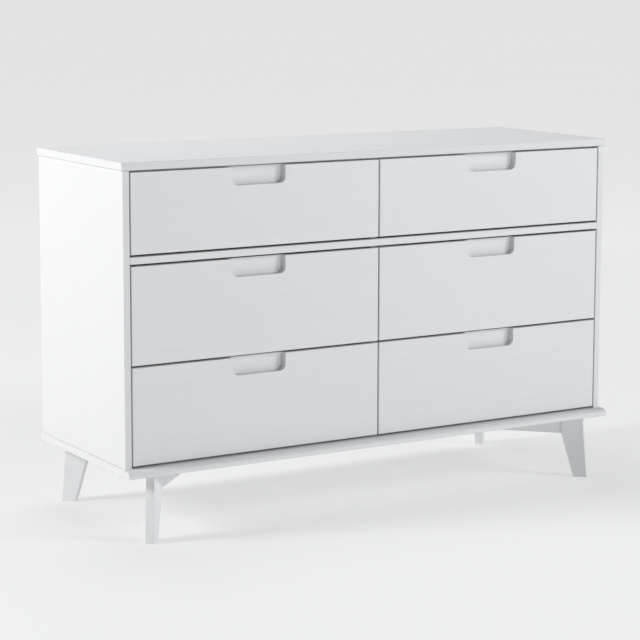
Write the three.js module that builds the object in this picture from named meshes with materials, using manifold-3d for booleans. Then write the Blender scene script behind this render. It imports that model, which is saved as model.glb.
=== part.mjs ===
// A free-standing dresser with six drawers in two columns, in millimetres.
// +X points right, +Y to the back and +Z up; the origin is on the floor, under the middle of the dresser.
// The carcass is built of boards that meet face to face with a hairline gap, the drawers are boxes behind
// inset fronts, and the legs are planks that stand on the diagonals of the four corners.

import * as THREE from 'three';
import { RoundedBoxGeometry } from 'three/addons/geometries/RoundedBoxGeometry.js';
import { mergeVertices } from 'three/addons/utils/BufferGeometryUtils.js';
import Module from 'manifold-3d';

const wasm = await Module();
wasm.setup();

// ---- Driving dimensions ----

const FIT = 0.3; // hairline between boards that are fixed together
const SHADOW_LINE = 0.8; // thin line between the side panels and the top
const SIDE_GAP = 3; // between a drawer front and the side panel beside it
const ROW_GAP = 5; // above and below every drawer front
const CENTER_GAP = 4; // between the fronts of the two columns
const SETBACK = 3; // from the back of the fronts to the divider, the hidden rail and the slides

const WIDTH = 1324; // across the outer faces of the side panels
const DEPTH = 450; // from the plane of the drawer fronts to the back
const HEIGHT = 851; // from the floor to the top surface

const PANEL = 16; // side panels, divider and hidden rails
const TOP_THICK = 18;
const TOP_OVERHANG = 4; // beyond the sides and the front
const BASE_THICK = 17;
const BASE_UNDERSIDE = 153; // height of the base board above the floor
const BASE_OVERHANG = 4; // beyond the sides
const NOSE = 28; // how far the base board stands out in front
const NOSE_ROUND = 18; // how far back the rounded part of the nose reaches
const NOSE_LIP = 5; // straight band under the rounded part of the nose
const NOSE_EASE = 1.5; // small chamfer under that band
const BACK_THICK = 6;
const RAIL_HEIGHT = 16; // the rail between the first and second row
const TOP_RAIL_DEPTH = 60; // hidden rail behind the first row of fronts
const REAR_RAIL_HEIGHT = 70; // hidden rail along the back

const TALL_FRONT = 220.5; // second and third row
const SHORT_FRONT = 181; // first row
const FRONT_THICK = 20;

const NOTCH_WIDTH = 138;
const NOTCH_HEIGHT = 41;
const NOTCH_RADIUS = 15;
const NOTCH_DEPTH = 16;
const LIP_THICK = 10; // front lip that the fingers pull on
const UNDERCUT = 4; // how far the pocket reaches down behind the lip

const SLIDE_SPACE = 13; // from a drawer box to the panel beside it
const BOX_SIDE = 12; // thickness of the drawer box sides and back
const BOX_LENGTH = 400;
const BOX_LIFT = 8; // box underside above the bottom edge of its front
const TALL_BOX = 175;
const SHORT_BOX = 140;
const BOTTOM_THICK = 5;
const BOTTOM_LIFT = 10; // drawer bottom above the underside of its box
const GROOVE = 5; // depth of the grooves that hold the drawer bottom

const SLIDE_LENGTH = 400;
const SLIDE_HEIGHT = 28;
const SLIDE_CENTER = 20; // above the bottom edge of the front
const SLIDE_WIDTH = 8.7;
const SLIDE_SHEET = 1.2;

const LEG_THICK = 20;
const LEG_FOOT = 33.5; // width of the plank at the floor
const LEG_SPLAY = 12.5; // how far the outer edge leans out from top to floor
const LEG_NECK = 53; // width of the plank where the brace meets it
const LEG_INSET_X = 51; // foot from the end of the base board
const LEG_INSET_Y = 9; // foot from the front or back edge of the base board
const BRACE_HEIGHT = 43;
const BRACE_THICK = 12;

const ARRIS = 1; // radius of the eased edges
const TOP_ARRIS = 1.5;

// ---- Places worked out from them ----

const FRONT_Y = -(DEPTH + NOSE) / 2 + NOSE; // plane of the drawer fronts
const BACK_Y = FRONT_Y + DEPTH;
const NOSE_Y = FRONT_Y - NOSE;
const BEHIND_FRONT_Y = FRONT_Y + FRONT_THICK;
const BACK_PANEL_Y = BACK_Y - BACK_THICK;

const OUTER_X = WIDTH / 2;
const INNER_X = OUTER_X - PANEL;
const BASE_X = OUTER_X + BASE_OVERHANG;
const BASE_TOP = BASE_UNDERSIDE + BASE_THICK;
const TOP_UNDERSIDE = HEIGHT - TOP_THICK;

// The three rows, numbered from the top: the bottom edge and the height of each front.
const ROW_3 = { z: BASE_TOP + ROW_GAP, height: TALL_FRONT, box: TALL_BOX };
const ROW_2 = { z: ROW_3.z + TALL_FRONT + ROW_GAP, height: TALL_FRONT, box: TALL_BOX };
const RAIL_Z = ROW_2.z + TALL_FRONT + ROW_GAP;
const ROW_1 = { z: RAIL_Z + RAIL_HEIGHT + ROW_GAP, height: SHORT_FRONT, box: SHORT_BOX };
const ROWS = [ROW_1, ROW_2, ROW_3];
const COLUMNS = [
  { name: 'left', side: -1 },
  { name: 'right', side: 1 },
];

// ---- Materials ----

const SATIN = 0.45;
const MATTE = 0.6;
const finish = (color, roughness = SATIN) =>
  new THREE.MeshStandardMaterial({ color, roughness, metalness: 0 });
const WHITE = 0xe9e9eb;
const PINE = 0xdcc9a6;
const HARDBOARD = 0xe4e2dc;
const steel = () => new THREE.MeshStandardMaterial({ color: 0xb9bcc0, roughness: 0.35, metalness: 0.9 });

const dresser = new THREE.Group();

function add(name, geometry, material, parent = dresser) {
  const mesh = new THREE.Mesh(geometry, material);
  mesh.name = name;
  parent.add(mesh);
  return mesh;
}

// ---- Shapes ----

// A board between two corners, with eased edges where a radius is given.
function board(name, material, x, y, z, radius = ARRIS) {
  const size = [x[1] - x[0], y[1] - y[0], z[1] - z[0]];
  const geometry = radius > 0
    ? new RoundedBoxGeometry(...size, 1, radius)
    : new THREE.BoxGeometry(...size);
  const mesh = add(name, geometry, material);
  mesh.position.set((x[0] + x[1]) / 2, (y[0] + y[1]) / 2, (z[0] + z[1]) / 2);
  return mesh;
}

// Two x values on one side of the middle, as a low and a high.
const span = (side, a, b) => (side > 0 ? [a, b] : [-b, -a]);

function outline(points) {
  return new THREE.Shape(points.map(([u, v]) => new THREE.Vector2(u, v)));
}

// An outline in X and Z, extruded along +Y from y = 0, with eased edges where a radius is given.
function extrudeBack(shape, thickness, radius = 0, curveSegments = 8) {
  const geometry = new THREE.ExtrudeGeometry(shape, {
    depth: thickness - 2 * radius,
    curveSegments,
    bevelEnabled: radius > 0,
    bevelThickness: radius,
    bevelSize: radius,
    bevelOffset: -radius,
    bevelSegments: 2,
  });
  geometry.rotateX(Math.PI / 2);
  geometry.translate(0, thickness - radius, 0);
  return geometry;
}

// An outline in Y and Z, extruded along X and centred on x = 0.
function extrudeAcross(shape, width) {
  const geometry = new THREE.ExtrudeGeometry(shape, { depth: width, bevelEnabled: false, curveSegments: 8 });
  geometry.rotateX(Math.PI / 2);
  geometry.rotateZ(Math.PI / 2);
  geometry.translate(-width / 2, 0, 0);
  return geometry;
}

function toSolid(geometry) {
  const bare = geometry.clone();
  bare.deleteAttribute('normal');
  bare.deleteAttribute('uv');
  const merged = mergeVertices(bare, 1e-3);
  return new wasm.Manifold(new wasm.Mesh({
    numProp: 3,
    vertProperties: merged.attributes.position.array,
    triVerts: new Uint32Array(merged.index.array),
  }));
}

function toGeometry(solid) {
  const mesh = solid.getMesh();
  const geometry = new THREE.BufferGeometry();
  geometry.setAttribute('position', new THREE.BufferAttribute(mesh.vertProperties, 3));
  geometry.setIndex(new THREE.BufferAttribute(mesh.triVerts, 1));
  return geometry;
}

function boxAt(x, y, z) {
  return new THREE.BoxGeometry(x[1] - x[0], y[1] - y[0], z[1] - z[0])
    .translate((x[0] + x[1]) / 2, (y[0] + y[1]) / 2, (z[0] + z[1]) / 2);
}

// ---- Carcass ----

function addTop() {
  const x = OUTER_X + TOP_OVERHANG;
  const y = [FRONT_Y - TOP_OVERHANG, BACK_Y];
  board('top_panel', finish(WHITE), [-x, x], y, [TOP_UNDERSIDE, HEIGHT], TOP_ARRIS);
}

// The upright edges of the side panels are eased; their ends are cut square, so they sit tight on the base.
function addSides() {
  const low = BASE_TOP + FIT;
  const high = TOP_UNDERSIDE - SHADOW_LINE;
  for (const { name, side } of COLUMNS) {
    const [x0, x1] = span(side, INNER_X, OUTER_X);
    const plan = outline([
      [x0 + ARRIS, FRONT_Y],
      [x1 - ARRIS, FRONT_Y],
      [x1, FRONT_Y + ARRIS],
      [x1, BACK_Y - ARRIS],
      [x1 - ARRIS, BACK_Y],
      [x0 + ARRIS, BACK_Y],
      [x0, BACK_Y - ARRIS],
      [x0, FRONT_Y + ARRIS],
    ]);
    const panel = new THREE.ExtrudeGeometry(plan, { depth: high - low, bevelEnabled: false });
    add(`side_panel_${name}`, panel, finish(WHITE)).position.z = low;
  }
}

// The divider stands behind the fronts, notched round the mid rail and the two hidden top rails.
function addDivider() {
  const front = BEHIND_FRONT_Y + SETBACK;
  const rear = BACK_PANEL_Y - FIT;
  const low = BASE_TOP + FIT;
  const high = TOP_UNDERSIDE - FIT;
  const frontNotch = front + TOP_RAIL_DEPTH + FIT;
  const frontNotchZ = TOP_UNDERSIDE - PANEL - 2 * FIT;
  const rearNotch = rear - PANEL - FIT;
  const rearNotchZ = TOP_UNDERSIDE - REAR_RAIL_HEIGHT - 2 * FIT;
  const shape = outline([
    [front, low],
    [rear, low],
    [rear, rearNotchZ],
    [rearNotch, rearNotchZ],
    [rearNotch, high],
    [frontNotch, high],
    [frontNotch, frontNotchZ],
    [front, frontNotchZ],
  ]);
  add('center_divider', extrudeAcross(shape, PANEL), finish(WHITE));
}

function addRails() {
  const x = [-INNER_X + FIT, INNER_X - FIT];
  const front = BEHIND_FRONT_Y + SETBACK;
  board('mid_rail', finish(WHITE), x, [FRONT_Y, front - FIT], [RAIL_Z, RAIL_Z + RAIL_HEIGHT]);
  board(
    'top_rail_front',
    finish(WHITE),
    x,
    [front, front + TOP_RAIL_DEPTH],
    [TOP_UNDERSIDE - FIT - PANEL, TOP_UNDERSIDE - FIT],
    0,
  );
  board(
    'top_rail_rear',
    finish(WHITE),
    x,
    [BACK_PANEL_Y - FIT - PANEL, BACK_PANEL_Y - FIT],
    [TOP_UNDERSIDE - FIT - REAR_RAIL_HEIGHT, TOP_UNDERSIDE - FIT],
    0,
  );
}

function addBack() {
  const x = INNER_X - FIT;
  const z = [BASE_TOP + FIT, TOP_UNDERSIDE - FIT];
  board('back_panel', finish(WHITE, MATTE), [-x, x], [BACK_PANEL_Y, BACK_Y], z, 0);
}

// The base board's front edge is rounded over a straight lip.
function addBase() {
  const shape = new THREE.Shape();
  const lipTop = BASE_UNDERSIDE + NOSE_LIP;
  const roundY = NOSE_Y + NOSE_ROUND;
  shape.moveTo(BACK_Y, BASE_TOP);
  shape.lineTo(roundY, BASE_TOP);
  shape.absellipse(roundY, lipTop, NOSE_ROUND, BASE_TOP - lipTop, Math.PI / 2, Math.PI, false, 0);
  shape.lineTo(NOSE_Y, BASE_UNDERSIDE + NOSE_EASE);
  shape.lineTo(NOSE_Y + NOSE_EASE, BASE_UNDERSIDE);
  shape.lineTo(BACK_Y, BASE_UNDERSIDE);
  add('base_panel', extrudeAcross(shape, 2 * BASE_X), finish(WHITE));
}

// ---- Legs and braces ----

// Each leg stands in the upright plane of its corner's diagonal. In the leg's own frame +X points
// outwards along that diagonal, +Y across the plank, and the origin is under the plank's outer edge.
function addLeg(name, sideX, sideY) {
  const neck = BASE_UNDERSIDE - BRACE_HEIGHT;
  const top = BASE_UNDERSIDE - FIT;
  const innerX = -LEG_SPLAY - LEG_NECK;
  const plank = extrudeBack(
    outline([[0, 0], [-LEG_SPLAY, top], [innerX, top], [innerX, neck], [-LEG_FOOT, 0]]),
    LEG_THICK,
    ARRIS,
  );
  plank.translate(0, -LEG_THICK / 2, 0);

  const foot = new THREE.Vector3(
    sideX * (BASE_X - LEG_INSET_X),
    sideY * (BACK_Y - LEG_INSET_Y),
    0,
  );
  const turn = Math.atan2(sideY, sideX);
  const leg = add(`leg_${name}`, plank, finish(WHITE));
  leg.position.copy(foot);
  leg.rotation.z = turn;

  // The brace runs inwards from the neck and is mitred against its twin half-way along the depth.
  const mitre = -(Math.abs(foot.y) - FIT) * Math.SQRT2;
  const half = BRACE_THICK / 2;
  const skew = sideX * sideY * half;
  const near = innerX - FIT;
  const brace = new THREE.ExtrudeGeometry(
    outline([[near, -half], [near, half], [mitre - skew, half], [mitre + skew, -half]]),
    { depth: BRACE_HEIGHT - FIT, bevelEnabled: false },
  );
  const rail = add(`brace_${name}`, brace, finish(WHITE));
  rail.position.set(foot.x, foot.y, neck);
  rail.rotation.z = turn;
}

// ---- Drawers ----

// A front with a finger notch open at its top edge: a pocket with round lower corners, undercut behind
// its lower lip, and closed at the back by the rest of the board. Centred on x = 0, bottom edge at z = 0.
function frontGeometry(width, height) {
  const half = width / 2;
  const notch = NOTCH_WIDTH / 2;
  const r = NOTCH_RADIUS;
  const floor = height - NOTCH_HEIGHT;
  const face = new THREE.Shape();
  face.moveTo(-half, 0);
  face.lineTo(half, 0);
  face.lineTo(half, height);
  face.lineTo(notch, height);
  face.lineTo(notch, floor + r);
  face.absarc(notch - r, floor + r, r, 0, -Math.PI / 2, true);
  face.lineTo(-notch + r, floor);
  face.absarc(-notch + r, floor + r, r, -Math.PI / 2, -Math.PI, true);
  face.lineTo(-notch, height);
  face.lineTo(-half, height);

  // The face is bevelled on both sides; its rear bevel lies inside the backing.
  const faceDepth = NOTCH_DEPTH + 2 * ARRIS;
  const layer = toSolid(extrudeBack(face, faceDepth, ARRIS));
  const backing = toSolid(boxAt([-half, half], [NOTCH_DEPTH, FRONT_THICK], [0, height]));
  const pocket = toSolid(boxAt([-notch + r, notch - r], [LIP_THICK, NOTCH_DEPTH], [floor - UNDERCUT, floor + r]));
  const grooveX = half - SLIDE_SPACE;
  const grooveZ = BOX_LIFT + BOTTOM_LIFT;
  const groove = toSolid(boxAt(
    [-grooveX, grooveX],
    [FRONT_THICK - GROOVE, FRONT_THICK + 1],
    [grooveZ - FIT, grooveZ + BOTTOM_THICK + FIT],
  ));
  return toGeometry(layer.add(backing).subtract(pocket).subtract(groove));
}

// The cross-section of a box side, with the groove for the bottom on the face at x = 0.
function boxSideShape(height, inward) {
  const g0 = BOTTOM_LIFT - FIT;
  const g1 = BOTTOM_LIFT + BOTTOM_THICK + FIT;
  const points = [
    [0, 0],
    [BOX_SIDE, 0],
    [BOX_SIDE, height],
    [0, height],
    [0, g1],
    [GROOVE, g1],
    [GROOVE, g0],
    [0, g0],
  ].map(([x, z]) => [-inward * x, z]);
  return outline(points);
}

// A steel channel on the panel beside the drawer, open towards the drawer.
function slideShape(outward) {
  const w = SLIDE_WIDTH;
  const h = SLIDE_HEIGHT / 2;
  const t = SLIDE_SHEET;
  const points = [[0, -h], [w, -h], [w, -h + t], [t, -h + t], [t, h - t], [w, h - t], [w, h], [0, h]]
    .map(([x, z]) => [-outward * x, z]);
  return outline(points);
}

function addDrawer(column, row, rowNumber) {
  const { side } = column;
  const name = `drawer_${column.name}_${rowNumber}`;
  const frontInner = CENTER_GAP / 2;
  const frontOuter = INNER_X - SIDE_GAP;
  const frontMiddle = side * (frontInner + frontOuter) / 2;
  const front = add(`${name}_front`, frontGeometry(frontOuter - frontInner, row.height), finish(WHITE));
  front.position.set(frontMiddle, FRONT_Y, row.z);

  const boxZ = row.z + BOX_LIFT;
  const boxY = BEHIND_FRONT_Y + FIT;
  const boxBackY = BEHIND_FRONT_Y + BOX_LENGTH;
  const inner = PANEL / 2 + SLIDE_SPACE;
  const outer = INNER_X - SLIDE_SPACE;
  const walls = [
    { wall: 'inner', x: inner + BOX_SIDE, inward: 1, panelX: PANEL / 2 + FIT },
    { wall: 'outer', x: outer - BOX_SIDE, inward: -1, panelX: INNER_X - FIT },
  ];
  for (const { wall, x, inward, panelX } of walls) {
    const shape = boxSideShape(row.box, inward * side);
    const plank = add(`${name}_side_${wall}`, extrudeBack(shape, boxBackY - boxY), finish(PINE, MATTE));
    plank.position.set(side * x, boxY, boxZ);
    const slide = extrudeBack(slideShape(-inward * side), SLIDE_LENGTH);
    const channel = add(`slide_${column.name}_${rowNumber}_${wall}`, slide, steel());
    channel.position.set(side * panelX, BEHIND_FRONT_Y + SETBACK, row.z + SLIDE_CENTER);
  }

  const clear = span(side, inner + BOX_SIDE + FIT, outer - BOX_SIDE - FIT);
  const bottomZ = boxZ + BOTTOM_LIFT;
  board(
    `${name}_back`,
    finish(PINE, MATTE),
    clear,
    [boxBackY - BOX_SIDE, boxBackY],
    [bottomZ + BOTTOM_THICK + FIT, boxZ + row.box],
    0,
  );
  const grooved = span(side, inner + BOX_SIDE - GROOVE + FIT, outer - BOX_SIDE + GROOVE - FIT);
  board(
    `${name}_bottom`,
    finish(HARDBOARD, MATTE),
    grooved,
    [BEHIND_FRONT_Y - GROOVE + FIT, boxBackY],
    [bottomZ, bottomZ + BOTTOM_THICK],
    0,
  );
}

addTop();
addSides();
addDivider();
addRails();
addBack();
addBase();
addLeg('front_left', -1, -1);
addLeg('front_right', 1, -1);
addLeg('rear_left', -1, 1);
addLeg('rear_right', 1, 1);
for (const column of COLUMNS) {
  ROWS.forEach((row, index) => addDrawer(column, row, index + 1));
}

export default dresser;
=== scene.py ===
"""A white six-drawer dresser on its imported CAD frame: paint, slides and fasteners, in metres."""

import math

import bmesh
import bpy
from mathutils import Matrix, Vector


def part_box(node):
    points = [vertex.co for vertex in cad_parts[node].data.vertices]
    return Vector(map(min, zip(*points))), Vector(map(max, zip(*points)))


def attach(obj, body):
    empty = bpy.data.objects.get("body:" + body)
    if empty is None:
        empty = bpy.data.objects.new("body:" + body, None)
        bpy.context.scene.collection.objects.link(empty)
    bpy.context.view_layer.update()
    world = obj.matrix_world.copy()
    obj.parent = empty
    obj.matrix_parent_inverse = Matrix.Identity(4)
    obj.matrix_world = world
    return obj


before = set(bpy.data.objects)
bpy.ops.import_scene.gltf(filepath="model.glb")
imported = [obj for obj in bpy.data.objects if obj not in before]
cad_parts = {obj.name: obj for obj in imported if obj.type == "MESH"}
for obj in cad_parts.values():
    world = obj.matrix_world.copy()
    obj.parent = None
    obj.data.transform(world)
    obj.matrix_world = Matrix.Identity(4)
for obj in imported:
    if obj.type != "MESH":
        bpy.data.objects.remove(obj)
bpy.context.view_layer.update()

MM = 0.001
COLUMNS = ("left", "right")
ROWS = (1, 2, 3)
WALLS = ("inner", "outer")

# The camera stands in front of the dresser and to its left.
CAMERA_AT = Vector((-2.648, -4.320, 1.268))
CAMERA_YAW = 31.18
CAMERA_PITCH = 7.77
CAMERA_ROLL = 0.12
LENS = 118.5
SHIFT_Y = -0.10

# Drawer half of a slide. Reaches are measured from the face of the drawer box towards the cabinet.
SHEET = 1.2 * MM  # thickness of the steel
MEMBER_GAP = 0.2 * MM  # between the box and the steel
MEMBER_DROP = 11 * MM  # half the height of the plate
MEMBER_INSET = 1.5 * MM  # how much shorter it is than the channel, at each end
FLANGE_REACH = 9.3 * MM
FLANGE_RISE = 5.2 * MM  # underside of the flange, above the middle of the slide
TONGUE = 28 * MM  # length of the raised rear end, which carries the roller

# Rollers and the cabinet's channel.
FRONT_ROLLER = {"radius": 8.8 * MM, "near": 4.0 * MM, "far": 9.8 * MM}
REAR_ROLLER = {"radius": 12.4 * MM, "near": 3.6 * MM, "far": 9.6 * MM}
ROLLER_CLEAR = 0.2 * MM  # under the front roller
CHANNEL_WEB = 11.5 * MM  # reach of the channel's upright face
CHANNEL_CLEAR = 12.8 * MM  # from the middle of the channel to the inside of its flanges
FRONT_AXLE = 14 * MM  # behind the front end of the channel
REAR_AXLE = 15 * MM  # before its rear end
SHANK = 2.6 * MM  # radius of the rivets
SHANK_PLAY = 0.1 * MM  # how far a rivet's head stands off its roller

# Screws of the slides: distances behind the front end of the channel and of the drawer's member.
CHANNEL_SCREWS = (42 * MM, 210 * MM)
CHANNEL_LAST_SCREW = 52 * MM  # before the channel's rear end
MEMBER_SCREWS = (60 * MM, 190 * MM, 330 * MM)
MEMBER_SCREW_DROP = 3 * MM

# Screws into the box back, as parts of the side's height, and their distance from its rear end.
BACK_SCREWS = (0.36, 0.62, 0.88)
BACK_SCREW_INSET = 6 * MM

# Cam locks in the drawer sides, measured from the side's front end, bottom edge and top edge.
CAM_BACK = 24 * MM
CAM_UP = 34 * MM
CAM_DOWN = 28 * MM

# Carcass details.
ARRIS = 1 * MM  # bevel on the upright edges of the side panels
JOINT_FILLET = 1.5 * MM  # paint in the joint between a side panel and the base board
SCREW_MARGIN = 70 * MM  # from the ends of a side panel to its first and last base screw

# Glow of the floor, which stands in for a lit sweep: under the dresser, and from 5 m away on.
FLOOR_GLOW = (0.535, 0.71)

# Strength of the white surroundings: as a light, and as seen by the camera.
SURROUNDINGS = (0.18, 0.77)


# ---- Shader nodes ----


class Shader:
    """A material under construction. Each call adds a node; inputs are values or other nodes' sockets."""

    def __init__(self, name):
        self.material = bpy.data.materials.new(name)
        self.material.use_nodes = True
        self.tree = self.material.node_tree
        self.tree.nodes.clear()

    def node(self, kind, inputs=None, **settings):
        made = self.tree.nodes.new(kind)
        for key, value in settings.items():
            setattr(made, key, value)
        for key, value in (inputs or {}).items():
            if isinstance(value, bpy.types.NodeSocket):
                self.tree.links.new(value, made.inputs[key])
            else:
                made.inputs[key].default_value = value
        return made

    def coordinates(self, scale, turn=0.0):
        """Positions in the row frame, turned about Z and then stretched by scale."""
        place = self.node("ShaderNodeTexCoord").outputs["Object"]
        if turn:
            place = self.node(
                "ShaderNodeMapping", {"Vector": place, "Rotation": (0, 0, turn)}
            ).outputs[0]
        return self.node("ShaderNodeMapping", {"Vector": place, "Scale": scale}).outputs[0]

    def noise(self, place, detail=3.0, roughness=0.55, scale=1.0, distortion=0.0):
        inputs = {
            "Vector": place,
            "Scale": scale,
            "Detail": detail,
            "Roughness": roughness,
            "Distortion": distortion,
        }
        return self.node("ShaderNodeTexNoise", inputs).outputs[0]

    def spread(self, value, low, high, start=0.3, end=0.7):
        """The value's range from start to end, mapped onto low to high."""
        inputs = {"Value": value, 1: start, 2: end, 3: low, 4: high}
        return self.node("ShaderNodeMapRange", inputs).outputs[0]

    def math(self, operation, a, b):
        return self.node("ShaderNodeMath", {0: a, 1: b}, operation=operation).outputs[0]

    def ramp(self, value, stops):
        made = self.node("ShaderNodeValToRGB", {0: value})
        elements = made.color_ramp.elements
        while len(elements) < len(stops):
            elements.new(0.5)
        for element, (position, color) in zip(elements, stops):
            element.position = position
            element.color = (*color, 1.0)
        return made.outputs[0]

    def mix(self, factor, a, b, blend="MIX"):
        made = self.node("ShaderNodeMix", data_type="RGBA", blend_type=blend)
        sockets = {"Factor": factor, "A": a, "B": b}
        for name, value in sockets.items():
            wanted = "VALUE" if name == "Factor" else "RGBA"
            socket = next(s for s in made.inputs if s.name == name and s.type == wanted)
            if isinstance(value, bpy.types.NodeSocket):
                self.tree.links.new(value, socket)
            else:
                socket.default_value = value if name == "Factor" else (*value, 1.0)
        return next(s for s in made.outputs if s.type == "RGBA")

    def edges(self, radius):
        """1 where the surface turns within the radius, 0 on flat faces, and the rounded normal."""
        rounded = self.node("ShaderNodeBevel", {"Radius": radius}, samples=6).outputs[0]
        true = self.node("ShaderNodeNewGeometry").outputs["Normal"]
        facing = self.node(
            "ShaderNodeVectorMath", {0: rounded, 1: true}, operation="DOT_PRODUCT"
        ).outputs["Value"]
        return self.spread(facing, 1.0, 0.0, 0.86, 0.995), rounded

    def facing_front(self):
        """1 on faces of the dresser that look towards the front, 0 on the others."""
        normal = self.node("ShaderNodeNewGeometry").outputs["Normal"]
        split = self.node("ShaderNodeSeparateXYZ", {0: normal}).outputs["Y"]
        return self.spread(split, 0.0, 1.0, -0.7, -0.95)

    def bump(self, height, distance, normal=None):
        inputs = {"Height": height, "Distance": distance, "Strength": 1.0}
        if normal is not None:
            inputs["Normal"] = normal
        return self.node("ShaderNodeBump", inputs).outputs[0]

    def finish(self, **sockets):
        values = {key.replace("_", " "): value for key, value in sockets.items()}
        surface = self.node("ShaderNodeBsdfPrincipled", values).outputs[0]
        self.node("ShaderNodeOutputMaterial", {"Surface": surface})
        return self.material


def along(axis, length, across):
    """Texture scales, per metre, for a grain that runs along one axis."""
    return tuple(length if name == axis else across for name in "XYZ")


def painted_wood(name, axis, tint, turn=0.0, roughness=0.6, front_facing_tone=1.0, softening=1.1 * MM):
    """Satin lacquer over wood: faint grain telegraphing through, brushed relief and softened arrises.
    The front-facing factor scales the tint of faces that look towards the front, against the others, and the
    softening is the radius that the arrises seem to have."""
    s = Shader(name)
    grain = s.noise(s.coordinates(along(axis, 3.5, 150), turn), detail=5, distortion=0.4)
    broad = s.noise(s.coordinates(along(axis, 1.2, 7), turn), detail=2)
    peel = s.noise(s.coordinates((420, 420, 420)), detail=2)
    edge, rounded = s.edges(softening)
    dark = tuple(c * 0.975 for c in tint)
    color = s.mix(s.spread(grain, 0.0, 1.0), dark, tint)
    color = s.mix(s.spread(broad, 0.0, 0.5), color, tuple(c * 0.985 for c in tint))
    # Along the arrises the colour turns paler and a little warmer: partly a painted highlight on the rounded
    # edges, partly a worn tone.
    color = s.mix(s.math("MULTIPLY", edge, 0.35), color, (0.84, 0.84, 0.83))
    # Faces that look towards the front get a darker colour, the tint times the front-facing factor.
    if front_facing_tone < 1:
        color = s.mix(s.facing_front(), color, tuple(c * front_facing_tone for c in tint))
    relief = s.bump(grain, 0.05 * MM, rounded)
    relief = s.bump(peel, 0.02 * MM, relief)
    gloss = s.math("ADD", s.spread(grain, 0.05, -0.03), s.math("MULTIPLY", edge, 0.08))
    gloss = s.math("ADD", gloss, s.spread(broad, roughness - 0.04, roughness + 0.04))
    return s.finish(Base_Color=color, Roughness=gloss, Normal=relief)


def bare_pine(name, axis):
    """Planed softwood: broad growth rings, fine fibres and a dull sheen."""
    s = Shader(name)
    rings = s.noise(s.coordinates(along(axis, 1.6, 26)), detail=4, distortion=1.4)
    bands = s.math("PINGPONG", s.math("MULTIPLY", rings, 7.0), 1.0)
    fibre = s.noise(s.coordinates(along(axis, 9, 900)), detail=3)
    edge, rounded = s.edges(0.8 * MM)
    color = s.ramp(
        bands,
        [(0.0, (0.74, 0.56, 0.34)), (0.45, (0.80, 0.64, 0.42)), (1.0, (0.62, 0.42, 0.22))],
    )
    color = s.mix(s.spread(fibre, 0.0, 0.35), color, (0.52, 0.35, 0.18))
    color = s.mix(s.math("MULTIPLY", edge, 0.4), color, (0.84, 0.70, 0.50))
    relief = s.bump(fibre, 0.06 * MM, s.bump(bands, 0.05 * MM, rounded))
    return s.finish(Base_Color=color, Roughness=s.spread(fibre, 0.48, 0.66), Normal=relief)


def coated_board(name, tint, fleck):
    """Thin fibreboard with a printed coat: a fine fleck and a slightly pebbled face."""
    s = Shader(name)
    speck = s.noise(s.coordinates((640, 640, 640)), detail=2, roughness=0.7)
    cloud = s.noise(s.coordinates((5, 5, 5)), detail=3)
    edge, rounded = s.edges(0.6 * MM)
    color = s.mix(s.spread(speck, 0.0, 0.5, 0.45, 0.75), tint, fleck)
    color = s.mix(s.spread(cloud, 0.0, 0.3), color, tuple(c * 0.93 for c in tint))
    color = s.mix(s.math("MULTIPLY", edge, 0.6), color, fleck)
    relief = s.bump(speck, 0.04 * MM, rounded)
    return s.finish(Base_Color=color, Roughness=s.spread(cloud, 0.5, 0.62), Normal=relief)


def plated_steel(name, tint, roughness):
    """Zinc plate: crystalline patches, drawn streaks along the run and duller handling marks."""
    s = Shader(name)
    patches = s.node(
        "ShaderNodeTexVoronoi", {"Vector": s.coordinates((1, 1, 1)), "Scale": 190.0}
    ).outputs["Color"]
    shade = s.node("ShaderNodeSeparateColor", {0: patches}).outputs[0]
    streak = s.noise(s.coordinates(along("Y", 14, 1500)), detail=3)
    smear = s.noise(s.coordinates((60, 60, 60)), detail=4)
    color = s.mix(s.spread(shade, 0.0, 0.5, 0.0, 1.0), tint, tuple(c * 0.82 for c in tint))
    color = s.mix(s.spread(smear, 0.0, 0.3), color, tuple(c * 0.72 for c in tint))
    gloss = s.math("ADD", s.spread(streak, -0.05, 0.06), s.spread(smear, roughness, roughness + 0.12))
    return s.finish(
        Base_Color=color, Roughness=gloss, Metallic=1.0, Normal=s.bump(streak, 0.01 * MM)
    )


def moulded_nylon(name):
    """White nylon: fine mould texture and a slight yellowing."""
    s = Shader(name)
    pebble = s.noise(s.coordinates((900, 900, 900)), detail=2)
    cloud = s.noise(s.coordinates((70, 70, 70)), detail=3)
    color = s.mix(s.spread(cloud, 0.0, 1.0), (0.78, 0.77, 0.73), (0.84, 0.84, 0.82))
    return s.finish(
        Base_Color=color,
        Roughness=s.spread(pebble, 0.34, 0.46),
        Subsurface_Weight=0.15,
        Normal=s.bump(pebble, 0.03 * MM),
    )


def studio_floor_paint(name):
    """A plain pale floor with a trace of cloudiness, glowing more strongly far from the dresser."""
    s = Shader(name)
    cloud = s.noise(s.coordinates((0.4, 0.4, 0.4)), detail=2)
    color = s.mix(s.spread(cloud, 0.0, 1.0), (0.31, 0.31, 0.31), (0.33, 0.33, 0.33))
    distance = s.node(
        "ShaderNodeVectorMath", {0: s.coordinates((1, 1, 1))}, operation="LENGTH"
    ).outputs["Value"]
    return s.finish(
        Base_Color=color,
        Roughness=0.85,
        Specular_IOR_Level=0.1,
        Emission_Color=(1, 1, 1, 1),
        Emission_Strength=s.spread(distance, *FLOOR_GLOW, 1.0, 5.0),
    )


WHITE = (0.745, 0.747, 0.752)
DIAGONAL = math.radians(45)

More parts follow.
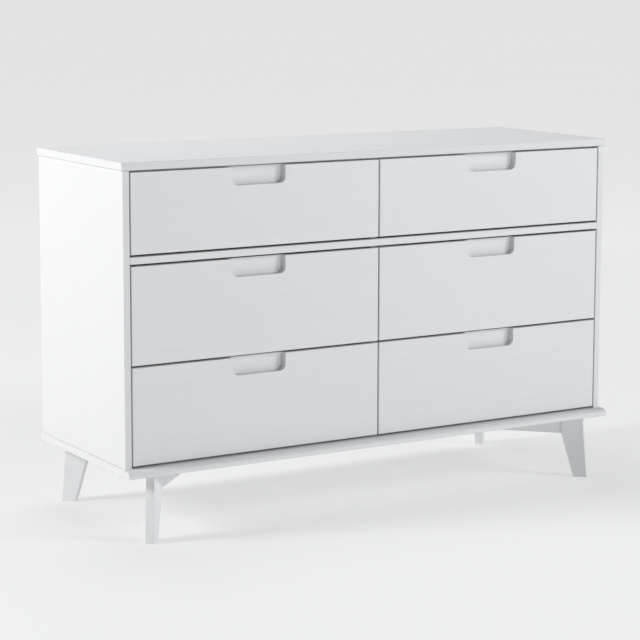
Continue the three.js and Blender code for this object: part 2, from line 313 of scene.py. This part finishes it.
paint_across = painted_wood("paint_grain_across", "X", WHITE)
paint_upright = painted_wood("paint_grain_upright", "Z", WHITE)
paint_top = painted_wood("paint_top", "X", WHITE, front_facing_tone=0.95)
paint_side = painted_wood("paint_sides", "Z", WHITE, front_facing_tone=0.96)
paint_joint = painted_wood("paint_in_joints", "Z", WHITE, softening=0.0)
paint_front = painted_wood("paint_drawer_fronts", "X", WHITE, roughness=0.57)
paint_diagonal = painted_wood("paint_grain_diagonal", "X", WHITE, turn=DIAGONAL)
paint_counter = painted_wood("paint_grain_counter", "X", WHITE, turn=-DIAGONAL)
pine_along = bare_pine("pine_grain_along", "Y")
pine_across = bare_pine("pine_grain_across", "X")
bottom_board = coated_board("drawer_bottom_coat", (0.78, 0.77, 0.73), (0.60, 0.57, 0.50))
rear_board = coated_board("back_board_coat", (0.76, 0.76, 0.765), (0.66, 0.66, 0.66))
zinc = plated_steel("zinc_plate", (0.72, 0.73, 0.75), 0.26)
screw_steel = plated_steel("screw_plate", (0.60, 0.60, 0.61), 0.32)
nylon = moulded_nylon("roller_nylon")


# ---- Carried-over CAD nodes ----


def finish_of(node):
    if node.startswith("slide_"):
        return zinc
    if node.startswith("drawer_"):
        if node.endswith("_front"):
            return paint_front
        if node.endswith("_bottom"):
            return bottom_board
        return pine_across if node.endswith("_back") else pine_along
    if node == "back_panel":
        return rear_board
    if node.startswith("brace_"):
        return paint_diagonal if node in ("brace_front_left", "brace_rear_right") else paint_counter
    if node == "top_panel":
        return paint_top
    if node.startswith("side_panel_"):
        return paint_side
    if node.startswith(("leg_", "center_divider")):
        return paint_upright
    return paint_across


for node_name, node_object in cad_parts.items():
    node_object.data.materials.clear()
    node_object.data.materials.append(finish_of(node_name))


# ---- Mesh building ----


def mesh_from(bm, name):
    bmesh.ops.recalc_face_normals(bm, faces=bm.faces)
    mesh = bpy.data.meshes.new(name)
    bm.to_mesh(mesh)
    bm.free()
    return mesh


def lathe(profile, segments=32):
    """A profile of (along, radius) points turned about the X axis; it starts and ends on the axis."""
    bm = bmesh.new()
    chain = [bm.verts.new((x, r, 0.0)) for x, r in profile]
    edges = [bm.edges.new(pair) for pair in zip(chain, chain[1:])]
    bmesh.ops.spin(
        bm,
        geom=chain + edges,
        cent=(0, 0, 0),
        axis=(1, 0, 0),
        angle=2 * math.pi,
        steps=segments,
        use_merge=True,
    )
    bmesh.ops.remove_doubles(bm, verts=bm.verts, dist=1e-6)
    return bm


def prism(outline, axis_from, axis_to):
    """An outline of (y, z) points, extruded along X."""
    bm = bmesh.new()
    face = bm.faces.new([bm.verts.new((axis_from, y, z)) for y, z in outline])
    made = bmesh.ops.extrude_face_region(bm, geom=[face])
    moved = [v for v in made["geom"] if isinstance(v, bmesh.types.BMVert)]
    bmesh.ops.translate(bm, verts=moved, vec=(axis_to - axis_from, 0, 0))
    return bm


def combined(first, second, operation):
    """One mesh from two, by boolean."""
    objects = []
    for bm in (first, second):
        holder = bpy.data.objects.new("work", mesh_from(bm, "work"))
        bpy.context.scene.collection.objects.link(holder)
        objects.append(holder)
    change = objects[0].modifiers.new("change", "BOOLEAN")
    change.operation = operation
    change.object = objects[1]
    change.solver = "EXACT"
    evaluated = objects[0].evaluated_get(bpy.context.evaluated_depsgraph_get())
    result = bmesh.new()
    result.from_mesh(evaluated.to_mesh())
    for holder in objects:
        mesh = holder.data
        bpy.data.objects.remove(holder)
        bpy.data.meshes.remove(mesh)
    return result


def shade(mesh, angle=35):
    for polygon in mesh.polygons:
        polygon.use_smooth = True
    mesh.set_sharp_from_angle(angle=math.radians(angle))
    return mesh


def cross_outline(reach, half):
    """A plus sign in Y and Z."""
    return [
        (reach, -half), (reach, half), (half, half), (half, reach), (-half, reach), (-half, half),
        (-reach, half), (-reach, -half), (-half, -half), (-half, -reach), (half, -reach), (half, -half),
    ]  # fmt: skip


def swept_fillet(radius, path):
    """A hollow quarter round on a level ledge, at the foot of a wall.
    The path is a list of (point, outward) pairs; outward is longer than 1 where the path turns."""
    clear = 0.03 * MM
    bow = radius - clear
    steps = 6
    section = [(clear, clear)]
    for i in range(steps + 1):
        turn = math.pi + i / steps * math.pi / 2
        section.append((radius + bow * math.cos(turn), radius + bow * math.sin(turn)))
    bm = bmesh.new()
    rings = []
    for point, outward in path:
        start = Vector(point)
        out = Vector(outward)
        rings.append([bm.verts.new(start + across * out + Vector((0, 0, up))) for across, up in section])
    bm.faces.new(rings[0])
    bm.faces.new(rings[-1])
    for near, far in zip(rings, rings[1:]):
        for i in range(len(section)):
            j = (i + 1) % len(section)
            bm.faces.new((near[i], near[j], far[j], far[i]))
    return shade(mesh_from(bm, "fillet"))


def screw_head(radius, rise):
    """A low domed head with a cross recess; it sits on x = 0 and faces +X."""
    profile = [(0, 0), (0, radius), (rise * 0.35, radius)]
    for step in range(1, 6):
        angle = step / 6 * math.pi / 2
        profile.append((rise * (0.35 + 0.65 * math.sin(angle)), radius * math.cos(angle) ** 0.6))
    profile.append((rise, 0))
    recess = prism(cross_outline(radius * 0.55, radius * 0.13), rise * 0.45, rise * 2)
    return shade(mesh_from(combined(lathe(profile, 24), recess, "DIFFERENCE"), "screw_head"))


def cam_disc(radius, rise):
    """The visible face of a cam lock: a chamfered disc with a deep cross slot and a pointer nick."""
    profile = [(0, 0), (0, radius), (rise * 0.5, radius), (rise, radius * 0.93), (rise, 0)]
    recess = prism(cross_outline(radius * 0.6, radius * 0.14), rise * 0.3, rise * 2)
    return shade(mesh_from(combined(lathe(profile, 32), recess, "DIFFERENCE"), "cam_disc"))


def roller_mesh(radius, width):
    """A moulded wheel from x = 0 to its width, with rounded rims and a dished hub on both faces."""
    rim = radius * 0.12
    dish = width * 0.12
    hub = radius * 0.42
    half = [(dish, 0), (dish, hub), (dish * 2, hub * 1.15), (dish * 2, radius * 0.8), (0, radius - rim)]
    tread = [(rim * 0.3, radius - rim * 0.3), (rim, radius)]
    near = half + tread
    far = [(width - x, r) for x, r in reversed(near)]
    return shade(mesh_from(lathe(near + far, 40), "roller"), 50)


def rivet_mesh(shank_from, shank_to, shank, head, dome):
    """A pin along X from a plate to a roller, ending in a domed head beyond the roller."""
    profile = [(shank_from, 0), (shank_from, shank), (shank_to, shank), (shank_to, head)]
    for step in range(1, 6):
        angle = step / 6 * math.pi / 2
        profile.append((shank_to + dome * math.sin(angle), head * math.cos(angle)))
    profile.append((shank_to + dome, 0))
    return shade(mesh_from(lathe(profile, 24), "rivet"))


def drawer_member(length):
    """The drawer half of a slide: a plate on the box with a flange on top and a tongue for the rear roller.
    It lies along +Y from y = 0; +X points from the drawer box towards the cabinet."""
    flat = FLANGE_RISE + SHEET
    outline = [
        (0, -MEMBER_DROP + 3 * MM),
        (3 * MM, -MEMBER_DROP),
        (length - 4 * MM, -MEMBER_DROP),
        (length, -MEMBER_DROP + 4 * MM),
        (length, MEMBER_DROP - 4 * MM),
        (length - 4 * MM, MEMBER_DROP),
        (length - TONGUE + 4 * MM, MEMBER_DROP),
        (length - TONGUE, flat),
        (0, flat),
    ]
    plate = prism(outline, MEMBER_GAP, MEMBER_GAP + SHEET)
    flange = prism(
        [(0, FLANGE_RISE), (length - TONGUE, FLANGE_RISE), (length - TONGUE, flat), (0, flat)],
        MEMBER_GAP,
        FLANGE_REACH,
    )
    bm = combined(plate, flange, "UNION")
    long_edges = [
        e
        for e in bm.edges
        if abs(e.verts[0].co.y - e.verts[1].co.y) > length / 2
        and all(abs(v.co.z - flat) < 1e-5 or abs(v.co.z - FLANGE_RISE) < 1e-5 for v in e.verts)
    ]
    bmesh.ops.bevel(bm, geom=long_edges, offset=0.45 * MM, segments=3, affect="EDGES")
    return shade(mesh_from(bm, "drawer_member"))


def mirrored(mesh):
    """The mesh's twin for the other hand, mirrored in X."""
    twin = mesh.copy()
    twin.transform(Matrix.Scale(-1, 4, (1, 0, 0)))
    twin.flip_normals()
    return twin


def turned_to(facing):
    """The turn that brings +X to face a direction along one of the axes."""
    x = Vector(facing)
    y = Vector((0, 1, 0)) if abs(x.y) < 0.5 else Vector((0, 0, 1))
    return Matrix((x, y, x.cross(y))).transposed().to_4x4()


def place(name, mesh, material, body, slot, at, facing=(1, 0, 0)):
    """Adds a piece whose own +X is turned to face a direction, and lets it ride on its body."""
    piece = bpy.data.objects.new(name, mesh)
    bpy.context.scene.collection.objects.link(piece)
    if not mesh.materials:
        mesh.materials.append(material)
    piece.matrix_world = Matrix.Translation(at) @ turned_to(facing)
    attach(piece, body)
    return piece


def scattered(mesh, spots, facing):
    """Copies of a mesh at several spots, as one mesh about the origin."""
    bm = bmesh.new()
    for spot in spots:
        copy = mesh.copy()
        copy.transform(Matrix.Translation(spot) @ turned_to(facing))
        bm.from_mesh(copy)
        bpy.data.meshes.remove(copy)
    joined = bpy.data.meshes.new("fasteners")
    bm.to_mesh(joined)
    bm.free()
    return shade(joined)


def fasten(name, mesh, spots, facing, body):
    """Several equal fasteners that belong together, as one piece."""
    middle = sum((Vector(s) for s in spots), Vector()) / len(spots)
    joined = scattered(mesh, [Vector(s) - middle for s in spots], facing)
    joined.materials.append(screw_steel)
    piece = bpy.data.objects.new(name, joined)
    bpy.context.scene.collection.objects.link(piece)
    piece.location = middle
    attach(piece, body)
    return piece


# ---- Slides, rollers and fasteners ----

channel_low, channel_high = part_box("slide_left_1_inner")
channel_length = channel_high.y - channel_low.y
member = drawer_member(channel_length - 2 * MEMBER_INSET)
members = {1: member, -1: mirrored(member)}
front_roller = roller_mesh(FRONT_ROLLER["radius"], FRONT_ROLLER["far"] - FRONT_ROLLER["near"])
rear_roller = roller_mesh(REAR_ROLLER["radius"], REAR_ROLLER["far"] - REAR_ROLLER["near"])
front_shank = CHANNEL_WEB - FRONT_ROLLER["near"] + SHANK_PLAY
rear_shank = REAR_ROLLER["far"] - MEMBER_GAP - SHEET + SHANK_PLAY
front_rivet = rivet_mesh(0, front_shank, SHANK, 3.4 * MM, 0.7 * MM)
rear_rivet = rivet_mesh(0, rear_shank, SHANK, 4.2 * MM, 0.8 * MM)
slide_screw = screw_head(3.4 * MM, 1.1 * MM)
box_screw = screw_head(3.0 * MM, 0.5 * MM)
cam_lock = cam_disc(7.5 * MM, 0.6 * MM)


def outer_face(column, row, wall):
    """The x of a drawer side's face towards its slide, that of its inner face, and the way out as 1 or -1."""
    slide_low, slide_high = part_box(f"slide_{column}_{row}_{wall}")
    low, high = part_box(f"drawer_{column}_{row}_side_{wall}")
    if slide_low.x < low.x:
        return low.x, high.x, -1
    return high.x, low.x, 1


def fit_slide(column, row, wall):
    """The drawer half of one slide, both rollers with their rivets, and the screws of both halves."""
    drawer = f"drawer_{column}_{row}"
    channel = f"slide_{column}_{row}_{wall}"
    low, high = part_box(channel)
    face, _, outward = outer_face(column, row, wall)
    towards = Vector((outward, 0, 0))
    inwards = -towards
    middle = (low.z + high.z) / 2
    member_y = low.y + MEMBER_INSET
    rear_y = high.y - REAR_AXLE
    wheel_y = low.y + FRONT_AXLE
    wheel_z = middle - CHANNEL_CLEAR + ROLLER_CLEAR + FRONT_ROLLER["radius"]

    def spot(reach, y, z):
        return Vector((face + outward * reach, y, z))

    # Each row is a piece's name, mesh, material, body, place and facing.
    pieces = [
        (f"{drawer}_slide_{wall}", members[outward], zinc, drawer, spot(0, member_y, middle), (1, 0, 0)),
        (
            f"{drawer}_roller_{wall}",
            rear_roller,
            nylon,
            drawer,
            spot(REAR_ROLLER["near"], rear_y, middle),
            towards,
        ),
        (
            f"{drawer}_rivet_{wall}",
            rear_rivet,
            screw_steel,
            drawer,
            spot(MEMBER_GAP + SHEET, rear_y, middle),
            towards,
        ),
        (
            f"{channel}_roller",
            front_roller,
            nylon,
            "root",
            spot(FRONT_ROLLER["near"], wheel_y, wheel_z),
            towards,
        ),
        (f"{channel}_rivet", front_rivet, screw_steel, "root", spot(CHANNEL_WEB, wheel_y, wheel_z), inwards),
    ]
    for name, mesh, material, body, at, facing in pieces:
        place(name, mesh, material, body, "steel_slide", at, facing)

    channel_screws = [low.y + behind for behind in CHANNEL_SCREWS] + [high.y - CHANNEL_LAST_SCREW]
    fasten(
        f"{channel}_screws",
        slide_screw,
        [spot(CHANNEL_WEB, y, middle) for y in channel_screws],
        inwards,
        "root",
    )
    fasten(
        f"{drawer}_slide_{wall}_screws",
        slide_screw,
        [spot(MEMBER_GAP + SHEET, member_y + behind, middle - MEMBER_SCREW_DROP) for behind in MEMBER_SCREWS],
        towards,
        drawer,
    )


def fasten_box(column, row, wall):
    """The screws into the box back and the cam locks that hold the front, in one side of a drawer box."""
    drawer = f"drawer_{column}_{row}"
    low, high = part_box(f"{drawer}_side_{wall}")
    face, inside, outward = outer_face(column, row, wall)
    fasten(
        f"{drawer}_back_screws_{wall}",
        box_screw,
        [Vector((face, high.y - BACK_SCREW_INSET, low.z + part * (high.z - low.z))) for part in BACK_SCREWS],
        Vector((outward, 0, 0)),
        drawer,
    )
    fasten(
        f"{drawer}_cams_{wall}",
        cam_lock,
        [Vector((inside, low.y + CAM_BACK, z)) for z in (low.z + CAM_UP, high.z - CAM_DOWN)],
        Vector((-outward, 0, 0)),
        drawer,
    )


for column in COLUMNS:
    for row in ROWS:
        for wall in WALLS:
            fit_slide(column, row, wall)
            fasten_box(column, row, wall)

back_low, back_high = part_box("back_panel")
rail_low, rail_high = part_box("top_rail_rear")
back_screw = screw_head(3.6 * MM, 0.6 * MM)
back_width = back_high.x - back_low.x
back_height = back_high.z - back_low.z
rail_z = (rail_low.z + rail_high.z) / 2
rail_x = [back_low.x + (0.05 + 0.9 * i / 8) * back_width for i in range(9)]
divider_z = [back_low.z + (0.06 + 0.76 * i / 4) * back_height for i in range(5)]
fasten(
    "back_rail_screws",
    back_screw,
    [Vector((x, back_high.y, rail_z)) for x in rail_x],
    (0, 1, 0),
    "root",
)
fasten(
    "back_divider_screws",
    back_screw,
    [Vector((0, back_high.y, z)) for z in divider_z],
    (0, 1, 0),
    "root",
)
base_low, base_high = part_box("base_panel")
side_low, side_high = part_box("side_panel_right")
base_screw = screw_head(4.6 * MM, 0.6 * MM)
upright_x = (side_low.x + side_high.x) / 2
fasten(
    "base_screws",
    base_screw,
    [
        Vector((x, y, base_low.z))
        for x in (-upright_x, 0, upright_x)
        for y in (side_low.y + SCREW_MARGIN, (side_low.y + side_high.y) / 2, side_high.y - SCREW_MARGIN)
    ],
    (0, 0, -1),
    "root",
)

# The paint runs on through the joint of each side panel and the base board, round its front corners.
mitre = math.tan(math.pi / 8)
for hand, side in (("left", -1), ("right", 1)):
    low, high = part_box(f"side_panel_{hand}")
    outer = max(abs(low.x), abs(high.x)) * side
    inner = min(abs(low.x), abs(high.x)) * side
    foot = base_high.z
    path = [
        ((outer, high.y, foot), (side, 0, 0)),
        ((outer, low.y + ARRIS, foot), (side, -mitre, 0)),
        ((outer - ARRIS * side, low.y, foot), (mitre * side, -1, 0)),
        ((inner, low.y, foot), (0, -1, 0)),
    ]
    fillet = swept_fillet(JOINT_FILLET, path)
    place(f"paint_in_joint_{hand}", fillet, paint_joint, "root", "white_paint", (0, 0, 0))


# ---- Studio ----


def aim(holder, target):
    holder.rotation_euler = (Vector(target) - holder.location).to_track_quat("-Z", "Y").to_euler()


def softbox(name, at, target, width, height, watts, color):
    lamp = bpy.data.lights.new(name, "AREA")
    lamp.shape = "RECTANGLE"
    lamp.size = width
    lamp.size_y = height
    lamp.energy = watts
    lamp.color = color
    holder = bpy.data.objects.new(name, lamp)
    bpy.context.scene.collection.objects.link(holder)
    holder.location = at
    holder.visible_camera = False
    aim(holder, target)
    return holder


def studio():
    floor_bm = bmesh.new()
    bmesh.ops.create_circle(floor_bm, cap_ends=True, segments=96, radius=40)
    floor = bpy.data.objects.new("studio_floor", mesh_from(floor_bm, "studio_floor"))
    floor.data.materials.append(studio_floor_paint("studio_floor"))
    bpy.context.scene.collection.objects.link(floor)

    world = bpy.data.worlds.new("studio")
    world.use_nodes = True
    nodes = world.node_tree.nodes
    links = world.node_tree.links
    glow = nodes["Background"]
    glow.inputs["Color"].default_value = (1, 1, 1, 1)
    seen = nodes.new("ShaderNodeLightPath").outputs["Is Camera Ray"]
    strength = nodes.new("ShaderNodeMapRange")
    strength.inputs["To Min"].default_value, strength.inputs["To Max"].default_value = SURROUNDINGS
    links.new(seen, strength.inputs["Value"])
    links.new(strength.outputs[0], glow.inputs["Strength"])
    bpy.context.scene.world = world
    bpy.context.scene.view_settings.view_transform = "Standard"

    neutral = (1.0, 1.0, 1.0)
    softbox("key", (-5.55, 1.15, 3.0), (0, 0.1, 0.4), 1.4, 1.4, 261, neutral)
    softbox("overhead", (0, 1.0, 3.6), (0, 0.5, 0.8), 1.6, 1.6, 47, (0.96, 0.98, 1.0))
    softbox("fill", (1.55, -6.0, 1.1), (0, 0, 0.4), 1.6, 1.9, 67, (0.86, 0.94, 1.0))
    softbox("right", (3.96, -4.16, 3.2), (0, 0, 0.4), 1.6, 1.6, 155, (0.98, 0.99, 1.0))

    camera = bpy.data.cameras.new("camera")
    camera.lens = LENS
    camera.sensor_width = 36
    camera.shift_y = SHIFT_Y
    holder = bpy.data.objects.new("camera", camera)
    bpy.context.scene.collection.objects.link(holder)
    holder.matrix_world = (
        Matrix.Translation(CAMERA_AT)
        @ Matrix.Rotation(math.radians(-CAMERA_YAW), 4, "Z")
        @ Matrix.Rotation(math.radians(90 - CAMERA_PITCH), 4, "X")
        @ Matrix.Rotation(math.radians(CAMERA_ROLL), 4, "Z")
    )
    bpy.context.scene.camera = holder


studio()
